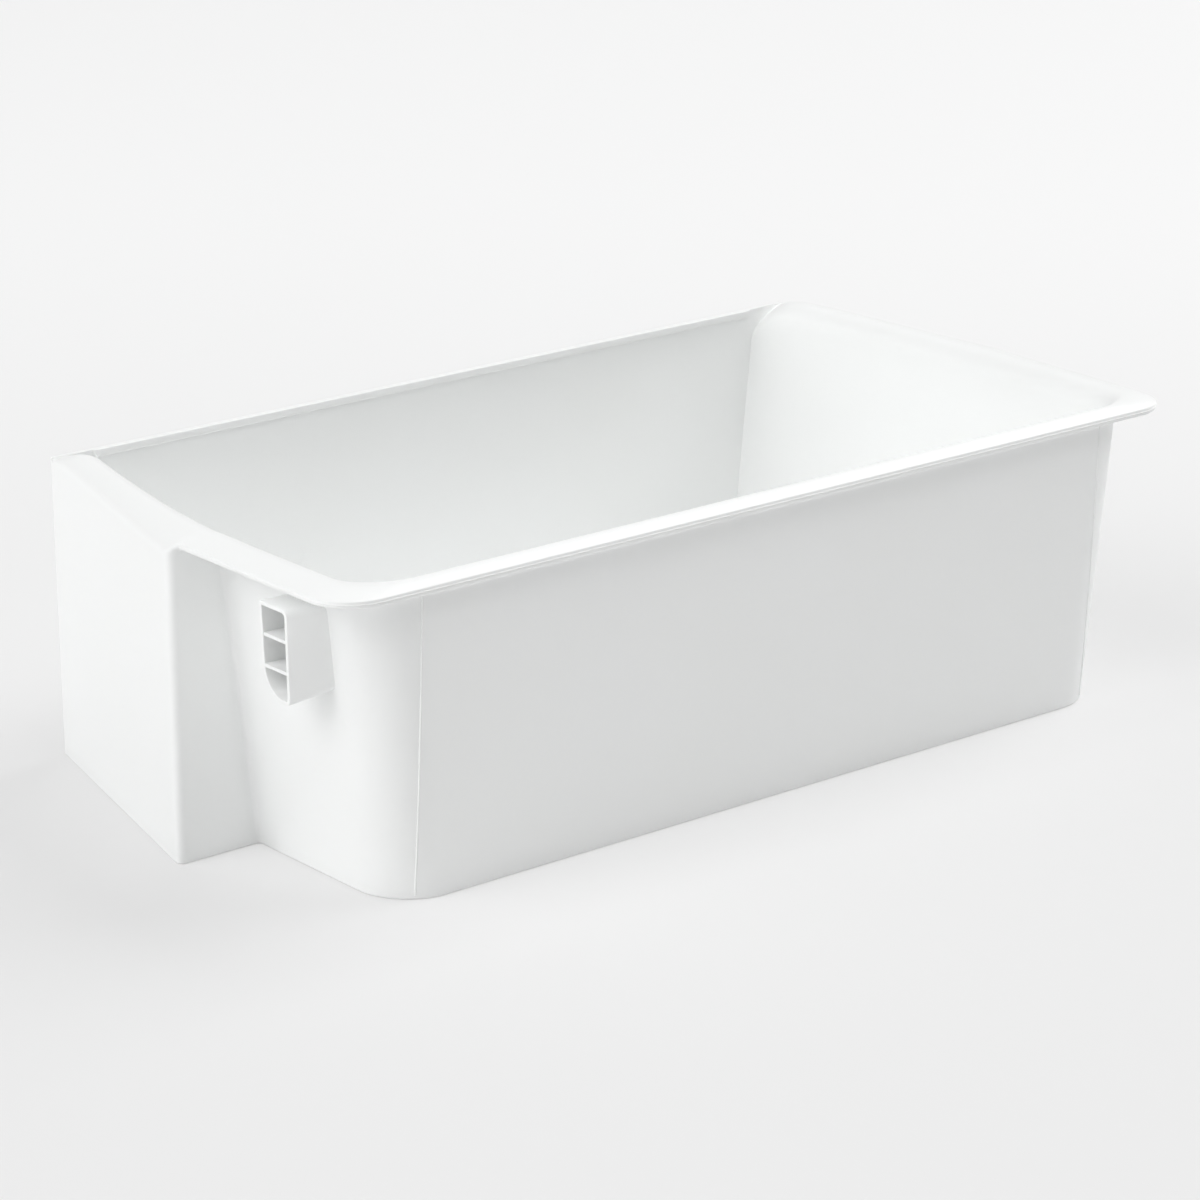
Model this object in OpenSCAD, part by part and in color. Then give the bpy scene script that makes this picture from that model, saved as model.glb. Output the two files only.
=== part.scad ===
// Refrigerator door bin. One moulded tub with drafted walls, a rolled rim that
// flares over both ends, a hollow stepped wing on the far half of each end and
// a three-cell lug under each flange. Millimetres, Z up. The origin is the
// middle of the footprint on the flat bottom; the near side faces -Y.

/* [Tub] */
// length over the end flanges
rim_length = 400; // [380:5:440]
// depth from the near rim edge to the far face
depth = 204; // [196:2:224]
// height of the flange edge over the bottom
rim_height = 116; // [104:2:140]
// wall thickness of tub, wings and webs
wall = 2.3; // [1.8:0.1:2.8]
// thickness of the floor
floor_thick = 2.5; // [2:0.1:3.5]
// outward lean of the end walls, degrees
end_draft = 5.4; // [3:0.2:6]
// outward lean of the near wall, degrees
front_draft = 0.8; // [0.4:0.1:1.2]
// radius of the two near corners of the tub wall
corner_r = 22; // [16:1:28]
// radius between floor and walls, inside
floor_r = 4; // [2:0.5:6]

/* [Rim] */
// reach of the flange past each end wall
flange_reach = 16; // [14:1:20]
// reach of the lip past the near wall
lip_reach = 4; // [3.5:0.5:6]
// thickness of the flange edge
edge_thick = 3.1; // [2.6:0.1:4]
// height of the rim crest over the flange edge
crown = 2; // [1:0.25:3]
// further rise of the crest towards the far wall
crown_rise = 2; // [0:0.5:3]
// radius of the roll over the end walls
roll_r = 8; // [6:0.5:9]
// radius of the roll over the near wall
lip_roll_r = 2; // [1.4:0.2:2]
// plan radius of the flange corners
rim_corner_r = 18; // [14:1:24]
// height of the bead along the inside of the far rim
bead_high = 2.2; // [1.6:0.2:3]
// reach of that bead from the far wall
bead_reach = 0.8; // [0.4:0.1:1.2]

/* [Ends] */
// distance from the near edge at which the end walls begin to bend in
bend_start = 88; // [84:1:96]
// how far the bent end walls have come in at the far wall
bend_in = 18.4; // [12:0.4:21]
// distance from the near edge to the step face, at the bottom
step_foot = 85; // [82:1:90]
// lean of the step face towards the far side, over the height
step_lean = 7; // [2:1:9]
// reach of the wing foot past the flange edge
wing_foot = 8; // [5:1:10]
// reach of the wing top past the flange edge
wing_top = 5; // [3:0.5:6]
// how far the wing comes in from the flange edge at the far face, bottom
wing_in_foot = 23.6; // [18:0.4:25]
// the same at the top
wing_in_top = 21.3; // [16:0.4:22]

/* [Lugs] */
// distance from the near edge to the lug
lug_at = 34.5; // [33:0.5:38]
// width of the lug along the end
lug_wide = 16; // [12:1:18]
// height of the lug
lug_high = 34; // [28:1:38]
// drop from the flange edge to the top of the lug
lug_drop = 11.7; // [9:0.3:14]
// reach of the lug from the middle of the bin
lug_gap = 4; // [2:0.5:5]
// thickness of the lug walls and ribs
lug_wall = 1.5; // [1.2:0.1:2]
// radius of the lower far corner of the lug
lug_round = 12; // [8:1:12]
// flare of the near side of the lug towards its root, degrees
lug_flare = 16; // [0:2:18]

/* [Display] */
// which piece to draw

/* [Hidden] */
shell_color = [0.95, 0.95, 0.94];

half = rim_length / 2;
// how finely corners, roll, rim top and floor radius are divided
arc_steps = 10;
roll_steps = 6;
top_steps = 4;
floor_steps = 3;
side_steps = 4;
hollow_steps = 3;
// places of the stations along an end, from bend to far corner
end_steps = [0, 0.05, 0.12, 0.2, 0.28, 0.36, 0.44, 0.52, 0.6, 0.68, 0.76, 0.83, 0.88, 0.92, 0.955, 0.98, 1];
wing_steps = [0, 0.12, 0.26, 0.42, 0.58, 0.72, 0.82, 0.88, 0.92, 0.96, 1];
// small radii: far corners, flange edge, foot, and under the flange
far_round = 1.5;
edge_round = 0.5;
foot_round = 0.8;
under_r = 2;
least_corner_r = 1;
// course of the bend in plan: how softly it begins, and its straight share
soft_bend = 0.105;
tangent_share = 0.556;
bend_lead = 2;
// where the crest begins to rise, and over what distance
hump_start = 12;
hump_full = 94;
// the rim's drop to the far wall: start, height of its roll and its roundness
drop_start = 0.84;
wedge_high = 11;
wedge_p = 1.4;
// how far the rim's edge lies under rim_height: lip, flange, wing, far wall
lip_edge_drop = 0.2;
end_edge_drop = 0.8;
wing_edge_drop = 2.5;
wing_edge_rise = 5.2;
far_edge_drop = 0.6;
drop_end = 1;
// shortest level top between a roll and the edge
top_least = 1.2;
// depth of the outside band in which the rim passes into the wall
band_depth = 12;
band_pitch = 2;
bead_end_gap = 3;
lug_root = 40;
merge = 1.2;
clear = 1;

station_count = arc_steps + 1 + len(end_steps) + 1;
step_station = arc_steps + 2;

function lerp(a, b, t) = a + (b - a) * t;
function clamp01(t) = max(0, min(1, t));
function smooth(t) = let (c = clamp01(t)) c * c * (3 - 2 * c);

// outer face of the end wall in the near half, and of the near wall
function end_x(z) = half - flange_reach - (rim_height - z) * tan(end_draft);
function near_y(z) = lip_reach + (rim_height - z) * tan(front_draft);

// inward bend of the end wall at a distance y from the near edge
function bend(y) =
    let (t = max(0, (y - bend_start) / (depth - bend_start)))
    let (s = (1 + soft_bend) * t * t / (t + soft_bend))
    bend_in * (tangent_share * s + (1 - tangent_share) * s * s);

// the step face, and the outer face of the wing, at height z
function step_y(z) = step_foot + step_lean * z / rim_height;
function wing_near_x(z) = half + lerp(wing_foot, wing_top, z / rim_height);
function wing_far_x(z) = half - lerp(wing_in_foot, wing_in_top, z / rim_height);
function wing_x(y, z) =
    lerp(wing_near_x(z), wing_far_x(z), (y - step_y(z)) / (depth - step_y(z)));

// share of the way along the wing, counted from the station behind the step
function wing_share(i) =
    (end_steps[i - arc_steps - 1] - end_steps[1]) / (1 - end_steps[1]);

// plan of the tub wall at height z, moved inwards by inset
function wall_plan(i, z, inset) =
    let (xe = end_x(z) - inset, yn = near_y(z) + inset, yf = depth - inset)
    let (r = max(least_corner_r, corner_r - inset))
    let (y_end = yf - far_round)
    i <= arc_steps
        ? let (a = -90 + 90 * i / arc_steps) [xe - r + r * cos(a), yn + r + r * sin(a)]
        : i < station_count - 1
            ? let (y = lerp(bend_start - bend_lead, y_end, end_steps[i - arc_steps - 1])) [xe - bend(y), y]
            : [xe - bend(yf) - far_round, yf];

// plan of the outer edge of the rim: flange, step, wing, far face
function edge_plan(i, z, inset) =
    let (r = rim_corner_r - inset, ys = step_y(z) + inset, yf = depth - inset)
    i <= arc_steps
        ? let (a = -90 + 90 * i / arc_steps)
            [half - inset - r + r * cos(a), inset + r + r * sin(a)]
        : i < step_station
            ? [half - inset, ys]
            : i < station_count - 1
                ? let (y = lerp(ys, yf - far_round, wing_share(i))) [wing_x(y, z) - inset, y]
                : [wing_x(yf, z) - inset - far_round, yf];

// plan of the skin below the rim: tub wall up to the step, then the wing
function skin_plan(i, z, inset) =
    i < step_station - 1
        ? wall_plan(i, z, inset)
        : i < step_station
            ? [end_x(z) - inset, step_y(z) + inset]
            : edge_plan(i, z, inset);

// how much of a station belongs to the end (1) and not to the near wall (0)
function end_share(i) = smooth(i / arc_steps);

// the rim's drop to the far wall, from 0 to 1, at a share of the way along the end
function drop_at(share) = pow(clamp01((share - drop_start) / (1 - drop_start)), 2);
function drop_share(i) = i <= arc_steps ? 0 : drop_at(end_steps[i - arc_steps - 1]);

// height of the crest at y, and of the wing's edge at a share of its length
function crest_at(y, drop) =
    let (h = rim_height + crown + crown_rise * smooth((y - bend_start - hump_start) / hump_full))
    lerp(h, rim_height - drop_end, drop);
function wing_edge_at(share, drop) =
    lerp(rim_height - wing_edge_drop + wing_edge_rise * share,
         rim_height - drop_end - far_edge_drop, drop);

// the same at a station
function crest_z(i) =
    i == station_count - 1
        ? rim_height
        : crest_at(edge_plan(i, rim_height, 0)[1], drop_share(i));
function edge_z(i) =
    i == station_count - 1
        ? rim_height - far_edge_drop
        : i < step_station
            ? rim_height - lerp(lip_edge_drop, end_edge_drop, end_share(i))
            : wing_edge_at(wing_share(i), drop_share(i));

// width and height of the inner roll, and its roundness
function roll_a(i) =
    i == station_count - 1
        ? far_edge_drop
        : lerp(lerp(lip_roll_r, roll_r, end_share(i)), 2 * roll_r, drop_share(i));
function roll_b(i) =
    i == station_count - 1
        ? far_edge_drop
        : lerp(lerp(lip_roll_r, roll_r, end_share(i)), wedge_high, drop_share(i));
function roll_p(i) = i == station_count - 1 ? 2 : lerp(2, wedge_p, drop_share(i));
function roll_rise(c, b, p) = b * pow(1 - pow(cos(c), p), 1 / p);

// rows of one station, from the floor over the rim down to the bottom
function on_rim(a, b, h) =
    let (w = norm(b - a)) [lerp(a[0], b[0], h / w), lerp(a[1], b[1], h / w)];
function at_z(p, z) = [p[0], p[1], z];
function column(i) =
    let (top = crest_z(i), b = roll_b(i), p = roll_p(i), low = top - b)
    let (inner = wall_plan(i, low, wall), outer = edge_plan(i, rim_height, 0))
    let (w = norm(outer - inner), edge = edge_z(i), a = min(roll_a(i), w - top_least))
    concat(
        [for (k = [0:floor_steps])
            let (c = 90 * k / floor_steps, z = floor_thick + floor_r * (1 - cos(c)))
            at_z(wall_plan(i, z, wall + floor_r * (1 - sin(c))), z)],
        [at_z(wall_plan(i, lerp(floor_thick, low, 0.5), wall), lerp(floor_thick, low, 0.5))],
        [for (k = [0:roll_steps])
            let (c = 90 * k / roll_steps)
            at_z(on_rim(inner, outer, a * (1 - cos(c))),
                 low + roll_rise(c, b, p))],
        [for (k = [1:top_steps])
            let (t = k / top_steps)
            at_z(on_rim(inner, outer, lerp(a, w - edge_round, t)),
                 top - (top - edge) * t * t)],
        [at_z(outer, edge - edge_round)],
        i < step_station
            ? [at_z(edge_plan(i, rim_height, 0), rim_height - edge_thick + edge_round),
               at_z(edge_plan(i, rim_height, edge_round), rim_height - edge_thick),
               at_z(skin_plan(i, rim_height, -under_r), rim_height - edge_thick),
               at_z(skin_plan(i, rim_height - edge_thick - under_r / 2, -under_r / 3),
                    rim_height - edge_thick - under_r / 2)]
            : [for (k = [1:side_steps])
                let (z = edge - edge_round - band_pitch * k) at_z(edge_plan(i, z, 0), z)],
        [for (z = [rim_height - band_depth, rim_height / 2, foot_round]) at_z(skin_plan(i, z, 0), z)],
        [at_z(skin_plan(i, 0, foot_round), 0)]
    );

// a closed skin over a ring of columns; each end is closed by a fan from its middle
module ring_solid(columns, first_middle, last_middle) {
    rings = len(columns);
    rows = len(columns[0]);
    points = concat([for (c = columns) for (p = c) p], [first_middle, last_middle]);
    first = rings * rows;
    faces = concat(
        [for (i = [0:rings - 1]) for (j = [0:rows - 2])
            let (a = i * rows + j, b = ((i + 1) % rings) * rows + j)
            each [[a, b, b + 1], [a, b + 1, a + 1]]],
        [for (i = [0:rings - 1]) [i * rows, first, ((i + 1) % rings) * rows]],
        [for (i = [0:rings - 1]) [i * rows + rows - 1, ((i + 1) % rings) * rows + rows - 1, first + 1]]);
    polyhedron(points, faces, convexity = 6);
}

function mirrored(c) = [for (p = c) [-p[0], p[1], p[2]]];

// tub, rim and the outside of both wings as one closed skin
module tub() {
    right = [for (i = [0:station_count - 1]) column(i)];
    left = [for (i = [station_count - 1:-1:0]) mirrored(right[i])];
    ring_solid(concat(right, left), [0, depth / 2, floor_thick], [0, depth / 2, 0]);
}

// the space inside a wing, open at the bottom: a section across it at share t of its
// length, one wall behind the skin all round
function hollow_y(z, t) = lerp(step_y(z) + wall, depth - wall, t);
function hollow_side(z, t) =
    let (y = hollow_y(z, t))
    [wing_x(y, max(0, z)) - wall, y, z];
function hollow_back(z, t) =
    let (y = hollow_y(z, t))
    [end_x(max(0, z)) - bend(y), y, z];
function hollow_section(t) =
    let (drop = drop_at(lerp(end_steps[1], 1, t)), y = hollow_y(rim_height, t))
    let (crest = crest_at(y, drop), edge = wing_edge_at(t, drop) - wall)
    let (b = lerp(roll_r, wedge_high, drop), p = lerp(2, wedge_p, drop), low = crest - b)
    let (side = hollow_side(edge, t), back = hollow_back(low, t))
    let (a = min(lerp(roll_r, 2 * roll_r, drop) - wall, side[0] - back[0] - under_r))
    concat(
        [for (z = [-clear, 0, rim_height / 2]) hollow_side(z, t)],
        [side],
        [[lerp(back[0] + a, side[0], 0.5), y, lerp(crest - wall, edge, 0.3)]],
        [for (k = [hollow_steps:-1:1])
            let (c = 90 * k / hollow_steps)
            [back[0] + a * (1 - cos(c)), y, low + roll_rise(c, b - wall, p)]],
        [back],
        [for (z = [rim_height / 2, 0, -clear]) hollow_back(z, t)]);
module wing_hollow() {
    sections = [for (t = wing_steps) hollow_section(t)];
    count = len(sections[0]);
    columns = [for (k = [0:count - 1]) [for (section = sections) section[k]]];
    middle_x = (end_x(0) + half) / 2;
    ring_solid(columns,
        [middle_x, hollow_y(rim_height / 2, 0), rim_height / 2],
        [middle_x - bend_in / 2, hollow_y(rim_height / 2, 1), rim_height / 2]);
}

// outline of the lug seen from the end, with the lower far corner round; the
// near side is moved by near_shift, for the flare that is cut off later
module lug_outline(inset, near_shift) {
    top = rim_height - lug_drop - inset;
    low = rim_height - lug_drop - lug_high + inset;
    near = lug_at + near_shift;
    far = lug_at + lug_wide - inset;
    r = lug_round - inset;
    difference() {
        translate([near, low]) square([far - near, top - low]);
        difference() {
            translate([far - r, low - clear]) square([r + clear, r + clear]);
            translate([far - r, low + r]) circle(r = r, $fn = 64);
        }
    }
}

// a slab that follows the drafted end wall, from its face moved by inset outwards
module beside_wall(inset, reach) {
    translate([0, 2 * depth, 0])
        rotate([90, 0, 0])
            linear_extrude(3 * depth)
                polygon([
                    [end_x(0) + inset, 0],
                    [reach, 0],
                    [reach, rim_height],
                    [end_x(rim_height) + inset, rim_height]]);
}

module lug() {
    face_x = half - lug_gap;
    slope = tan(lug_flare);
    difference() {
        intersection() {
            rotate([90, 0, 90]) linear_extrude(face_x) lug_outline(0, -lug_root * slope);
            beside_wall(-merge, face_x);
            linear_extrude(rim_height)
                polygon([
                    [face_x, lug_at],
                    [face_x, lug_at + lug_wide],
                    [face_x - lug_root, lug_at + lug_wide],
                    [face_x - lug_root, lug_at - lug_root * slope]]);
        }
        intersection() {
            rotate([90, 0, 90]) linear_extrude(half + clear) lug_cells();
            beside_wall(0, half + clear);
        }
    }
}

module lug_cells() {
    top = rim_height - lug_drop;
    pitch = (lug_high - lug_wall) / 3;
    difference() {
        lug_outline(lug_wall, lug_wall);
        for (k = [1, 2])
            translate([lug_at, top - lug_wall - k * pitch])
                square([lug_wide, lug_wall]);
    }
}

// bead along the inside of the far rim
module far_bead() {
    span = 2 * (end_x(rim_height) - bend_in - bead_end_gap);
    translate([-span / 2, depth - wall - bead_reach, rim_height - bead_high - far_edge_drop])
        cube([span, bead_reach + wall / 2, bead_high]);
}

module door_bin() {
    color(shell_color)
    translate([0, -depth / 2, 0])
    union() {
        difference() {
            tub();
            wing_hollow();
            mirror([1, 0, 0]) wing_hollow();
        }
        lug();
        mirror([1, 0, 0]) lug();
        far_bead();
    }
}

door_bin();
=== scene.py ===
"""White moulded refrigerator door bin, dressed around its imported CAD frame.

The bin is one injection moulding, so one finely divided skin replaces the CAD node. It follows
the same rules as the CAD source and adds what that leaves out: small fillets, edge radii, the
draft of the lugs, the parting line on the rim's edge, the bead of the far rim, the witness
lines of the side slides and the mark of an ejector pin. Lengths of the bin are in millimetres,
with y counted from the near rim edge; to_frame() turns them into the frame's metres.
"""
import math
from collections import namedtuple

import bmesh
import bpy
from mathutils import Matrix, Vector


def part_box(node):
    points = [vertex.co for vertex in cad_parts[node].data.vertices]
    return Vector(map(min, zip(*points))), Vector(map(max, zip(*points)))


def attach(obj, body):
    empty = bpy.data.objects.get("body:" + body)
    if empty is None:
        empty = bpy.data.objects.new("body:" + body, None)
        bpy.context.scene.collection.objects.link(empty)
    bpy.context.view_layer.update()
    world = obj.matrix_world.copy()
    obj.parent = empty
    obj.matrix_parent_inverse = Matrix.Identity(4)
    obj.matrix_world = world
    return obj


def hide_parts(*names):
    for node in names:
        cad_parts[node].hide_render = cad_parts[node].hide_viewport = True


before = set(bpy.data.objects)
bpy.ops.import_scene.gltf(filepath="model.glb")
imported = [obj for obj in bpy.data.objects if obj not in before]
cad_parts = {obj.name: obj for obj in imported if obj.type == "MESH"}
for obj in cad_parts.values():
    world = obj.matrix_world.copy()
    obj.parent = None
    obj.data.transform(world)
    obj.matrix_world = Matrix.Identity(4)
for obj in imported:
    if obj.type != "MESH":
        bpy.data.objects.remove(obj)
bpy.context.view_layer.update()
node_low, node_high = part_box("door_bin")
MM = 0.001

# Driving sizes, as in the CAD source
DEPTH = (node_high.y - node_low.y) / MM
RIM_HEIGHT = 116.0
HALF = 200.0
WALL = 2.3
FLOOR = 2.5
FLOOR_R = 4.0
END_DRAFT = math.radians(5.4)
FRONT_DRAFT = math.radians(0.8)
CORNER_R = 22.0

# Rim: reach of flange and lip, crown, rolls, and how far the edge lies under RIM_HEIGHT
FLANGE_REACH = 16.0
LIP_REACH = 4.0
EDGE_THICK = 3.1
RIM_CORNER_R = 18.0
CROWN = 2.0
CROWN_RISE = 2.0
HUMP_START = 12.0
HUMP_FULL = 94.0
ROLL_R = 8.0
LIP_ROLL_R = 2.0
LIP_EDGE_DROP = 0.2
END_EDGE_DROP = 0.8
WING_EDGE_DROP = 2.5
WING_EDGE_RISE = 5.2
FAR_EDGE_DROP = 0.6
DROP_START = 0.84
DROP_END = 0.3
WEDGE_HIGH = 11.0
WEDGE_P = 1.4
CIRCLE_P = 2.0
BEAD_REACH = 0.8
BEAD_HIGH = 2.2

# Ends: bend of the tub wall, step and wing
BEND_START = 88.0
BEND_IN = 18.4
SOFT_BEND = 0.105
TANGENT_SHARE = 0.556
STEP_FOOT = 85.0
STEP_LEAN = 7.0
WING_FOOT = 8.0
WING_TOP = 5.0
WING_IN_FOOT = 23.6
WING_IN_TOP = 21.3
WING_FIRST_SHARE = 0.05

# Small radii and marks of the tool. The radius of the wing's edge grows from its first value
# to its full one over a WING_SWELLth of the wing.
FILLET = 1.6
WING_CORNER_R = 2.6
FAR_R = 1.2
FLANGE_EDGE_R = 0.6
STEP_EDGE_R = 1.0
WING_FIRST_R = 2.2
WING_EDGE_R = 3.6
WING_SWELL = 3
FAR_EDGE_R = 0.5
UNDER_R = 2.2
FOOT_R = 0.9
PARTING_OUT = 0.2
PARTING_HALF = 0.3
WITNESS_X = 162.6
WITNESS_R = 0.34
PIN_X = -69.2
PIN_Z = 57.1
PIN_R = 3.0
PIN_DEEP = 0.15
LEAST_TOP = 0.6
RIM_EDGE_DEEP = 0.4

# Lug under each end flange
LUG_AT = 34.5
LUG_WIDE = 16.0
LUG_HIGH = 34.8
LUG_DROP = 10.9
LUG_GAP = 3.2
LUG_WALL = 1.5
LUG_ROUND = 12.0
LUG_TOP_R = 3.0
LUG_FAR_R = 1.4
LUG_LOW_R = 2.5
LUG_ROOT_R = 3.9
LUG_FLARE = math.radians(16)
LUG_TAPER = math.radians(2.6)
LUG_LEAN = math.radians(1.4)
LUG_RISE = math.radians(10.5)
LUG_CELLS = 3
LUG_RIB = 1.2
LUG_SOFT = 0.35
LUG_SOFT_ROW = 0.3
LUG_SINK = 1.2
RIB_SINK = 0.6
RIB_TAPER = 0.8

# How finely the skin is divided
ARC_STEPS = 20
ROLL_STEPS = 12
TOP_STEPS = 8
EDGE_STEPS = 5
FILLET_STEPS = 6
CORNER_STEPS = 8
WING_STEPS = 40
TURN_STEPS = 4
FLOOR_STEPS = 6
FOOT_STEPS = 4
UNDER_STEPS = 5
HOLLOW_STEPS = 24
LUG_STEPS = 10
PIN_STEPS = 40
BEAD_STEPS = 3
WITNESS_STEPS = 30
WITNESS_SIDES = 10
SWEEP_STEPS = 16

# Rows of the walls between their radii: inside as shares of the height, outside and in the
# hollows as heights. The rows of the wing's edge fill a band below it.
INNER_ROWS = (0.25, 0.5, 0.75, 0.93)
OUTER_ROWS = (92.0, 70.0, 48.0, 26.0, 10.0)
HOLLOW_ROWS = (0.0, 40.0, 80.0)
HOLLOW_SHOULDER = 0.3
WING_BAND = 14.0

# Where the columns of the fillet and the wing's corner stand along the inner wall, and those of
# the end between the corner and the fillet
SPREAD_FROM = 84.0
SPREAD_TO = 97.5
END_SHARES = (0.35, 0.7, 0.9)

# Columns near the far wall: the gap before it, how far in they stand from the far inner corner,
# and the same outside
JOIN = 0.6
RISE_BACK = 0.2
RISE_IN = 0.3
TURN_IN = (0.6, 1.8)
FAR_IN = (4.0, 7.0)
FAR_OUTSIDE_IN = (1.0, 3.0)

# Distance in metres under which points are one, and the angle from which an edge stays sharp
SAME_POINT = 1e-7
SHARP_EDGE = math.radians(32)

# Camera at the photograph's angle, fitted to its edges: its place in the bin's millimetres,
# angles in degrees, and the focal length in pixels of a 1200 pixel frame
CAMERA_PLACE = (-1048.5, -1136.1, 593.5)
AZIMUTH = math.radians(-40.21)
ELEVATION = math.radians(18.51)
ROLL = math.radians(0.52)
FOCAL_PIXELS = 4539.8
FRAME_PIXELS = 1200
SENSOR = 36.0
CLIP_NEAR = 0.05
CLIP_FAR = 30.0

# Studio: a wide paper sweep and seven broad lamps, high and some five to seven metres away
SWEEP_WIDE = 10.0
SWEEP_FRONT = -8.0
SWEEP_BACK = 12.0
SWEEP_HIGH = 3.0
SWEEP_R = 1.2
FLOOR_GAP = 0.0002
BROAD_LAMP = (4.4, 4.4)
ROOM_LIGHT = 0.05

# Painted shade on the sweep: what the camera sees of the paper is painted darker across the floor,
# from its palest share at the first distance, behind the bin, to its greyest share at the second,
# in metres. PAPER_EVEN is the share of plain white in its picture.
PAINTED_SHADE_FROM = -0.9
PAINTED_SHADE_TO = 0.2
PAINTED_SHADE_LEAST = 0.43
PAINTED_SHADE_MOST = 0.34
PAPER_EVEN = 0.48


def lerp(a, b, t):
    return a + (b - a) * t


def clamp01(t):
    return max(0.0, min(1.0, t))


def smooth(t):
    c = clamp01(t)
    return c * c * (3 - 2 * c)


def quarter(k, steps):
    """Angle of row k of a quarter turn."""
    return math.pi / 2 * k / steps


def to_frame(p):
    return Vector((p[0] * MM, node_low.y + p[1] * MM, node_low.z + p[2] * MM))


def end_x(z):
    """Outer face of the end wall at height z, before it bends."""
    return HALF - FLANGE_REACH - (RIM_HEIGHT - z) * math.tan(END_DRAFT)


def near_y(z):
    """Outer face of the near wall at height z."""
    return LIP_REACH + (RIM_HEIGHT - z) * math.tan(FRONT_DRAFT)


def bend(y):
    """How far the end wall has come in at y."""
    t = max(0.0, (y - BEND_START) / (DEPTH - BEND_START))
    s = (1 + SOFT_BEND) * t * t / (t + SOFT_BEND)
    return BEND_IN * (TANGENT_SHARE * s + (1 - TANGENT_SHARE) * s * s)


def step_y(z):
    return STEP_FOOT + STEP_LEAN * z / RIM_HEIGHT


def wing_x(y, z):
    """Outer face of the wing."""
    near_x = HALF + lerp(WING_FOOT, WING_TOP, z / RIM_HEIGHT)
    far_x = HALF - lerp(WING_IN_FOOT, WING_IN_TOP, z / RIM_HEIGHT)
    return lerp(near_x, far_x, (y - step_y(z)) / (DEPTH - step_y(z)))


def wing_lean(z):
    """Angle in plan between the wing's outward normal and +X."""
    return math.atan2(wing_x(step_y(z), z) - wing_x(DEPTH, z), DEPTH - step_y(z))


# The skin is a ring of columns. The stations of one end run from the near corner to the far
# wall; each is a kind and a share of its stretch. join is where the wing's top meets the far
# wall's inner face, rise is that face up to the far rim, turn is the far outer corner.
STATIONS = (
    [("arc", k / ARC_STEPS) for k in range(ARC_STEPS + 1)]
    + [("end", t) for t in END_SHARES]
    + [("fillet", k / FILLET_STEPS) for k in range(FILLET_STEPS + 1)]
    + [("corner", k / CORNER_STEPS) for k in range(CORNER_STEPS + 1)]
    + [("wing", k / WING_STEPS) for k in range(1, WING_STEPS + 1)]
    + [("join", 0.0), ("rise", 0.0)]
    + [("turn", k / TURN_STEPS) for k in range(TURN_STEPS + 1)]
    + [("far", 0.0), ("far", 1.0)]
)
UNDER_A_FLANGE = ("arc", "end", "fillet")
AT_FAR_RIM = ("rise", "turn", "far")


def spread_share(station):
    """Share of the way through the fillet and the wing's corner, taken together."""
    kind, t = station
    count = FILLET_STEPS + CORNER_STEPS + 1
    if kind == "fillet":
        return t * FILLET_STEPS / count
    return (FILLET_STEPS + 1 + t * CORNER_STEPS) / count


def concave(face_x, z, inset, t):
    """Plan of the fillet between a face across X and the step face."""
    r = FILLET + inset
    a = math.pi / 2 * t
    return face_x + FILLET - r * math.cos(a), step_y(z) - FILLET + r * math.sin(a)


def wall_plan(station, z, inset):
    """Tub wall in plan at height z, moved inwards by inset from its outer face."""
    kind, t = station
    face_x, far_y = end_x(z) - inset, DEPTH - inset
    if kind == "arc":
        r = CORNER_R - inset
        a = math.pi / 2 * (t - 1)
        return face_x - r + r * math.cos(a), near_y(z) + inset + r + r * math.sin(a)
    if kind in AT_FAR_RIM:
        run_in = {"rise": RISE_IN, "turn": lerp(*TURN_IN, t), "far": lerp(*FAR_IN, t)}[kind]
        return face_x - bend(far_y) - run_in, far_y
    if kind == "end":
        y = lerp(near_y(z) + CORNER_R, SPREAD_FROM, t)
    elif kind == "wing":
        y = lerp(SPREAD_TO, far_y - JOIN, t)
    elif kind == "join":
        y = far_y
    else:
        y = lerp(SPREAD_FROM, SPREAD_TO, spread_share(station))
    return face_x - bend(y), y


def outside_plan(station, z, inset):
    """Outer face of tub wall, step and wing in plan, under the rim."""
    kind, t = station
    if kind == "arc":
        return wall_plan(station, z, inset)
    if kind == "end":
        return end_x(z) - inset, lerp(near_y(z) + CORNER_R, step_y(z) - FILLET, t)
    if kind == "fillet":
        return concave(end_x(z), z, inset, t)
    return wing_plan(station, z, inset)


def wing_plan(station, z, inset):
    """Corner at the step, side of the wing, and corner at the far wall."""
    kind, t = station
    lean = wing_lean(z)
    if kind == "corner":
        first, last, full = -math.pi / 2, lean, WING_CORNER_R
        middle_y = step_y(z) + full
    elif kind in ("turn", "far"):
        first, last, full = lean, math.pi / 2, FAR_R
        middle_y = DEPTH - full
    else:
        first_y = step_y(z) + WING_CORNER_R * (1 + math.sin(lean))
        y = {"wing": lerp(first_y, DEPTH - WALL - JOIN, t), "join": DEPTH - WALL,
             "rise": DEPTH - WALL + RISE_BACK}[kind]
        return wing_x(y, z) - inset / math.cos(lean), y
    middle_x = wing_x(middle_y, z) - full / math.cos(lean)
    if kind == "far":
        return middle_x - lerp(*FAR_OUTSIDE_IN, t), DEPTH - inset
    a = lerp(first, last, t)
    r = full - inset
    return middle_x + r * math.cos(a), middle_y + r * math.sin(a)


def rim_plan(station, z, inset):
    """Outer edge of the rim in plan: lip, flange and, past the step, the wing itself. The
    edge of lip and flange stands back by the parting line, which reaches the full size."""
    kind, t = station
    if kind == "arc":
        r = RIM_CORNER_R
        a = math.pi / 2 * (t - 1)
        reach = r - PARTING_OUT - inset
        return HALF - r + reach * math.cos(a), r + reach * math.sin(a)
    if kind == "end":
        return HALF - PARTING_OUT - inset, lerp(RIM_CORNER_R, step_y(z) - FILLET, t)
    if kind == "fillet":
        return concave(HALF - PARTING_OUT, z, inset, t)
    return wing_plan(station, z, inset)


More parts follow.
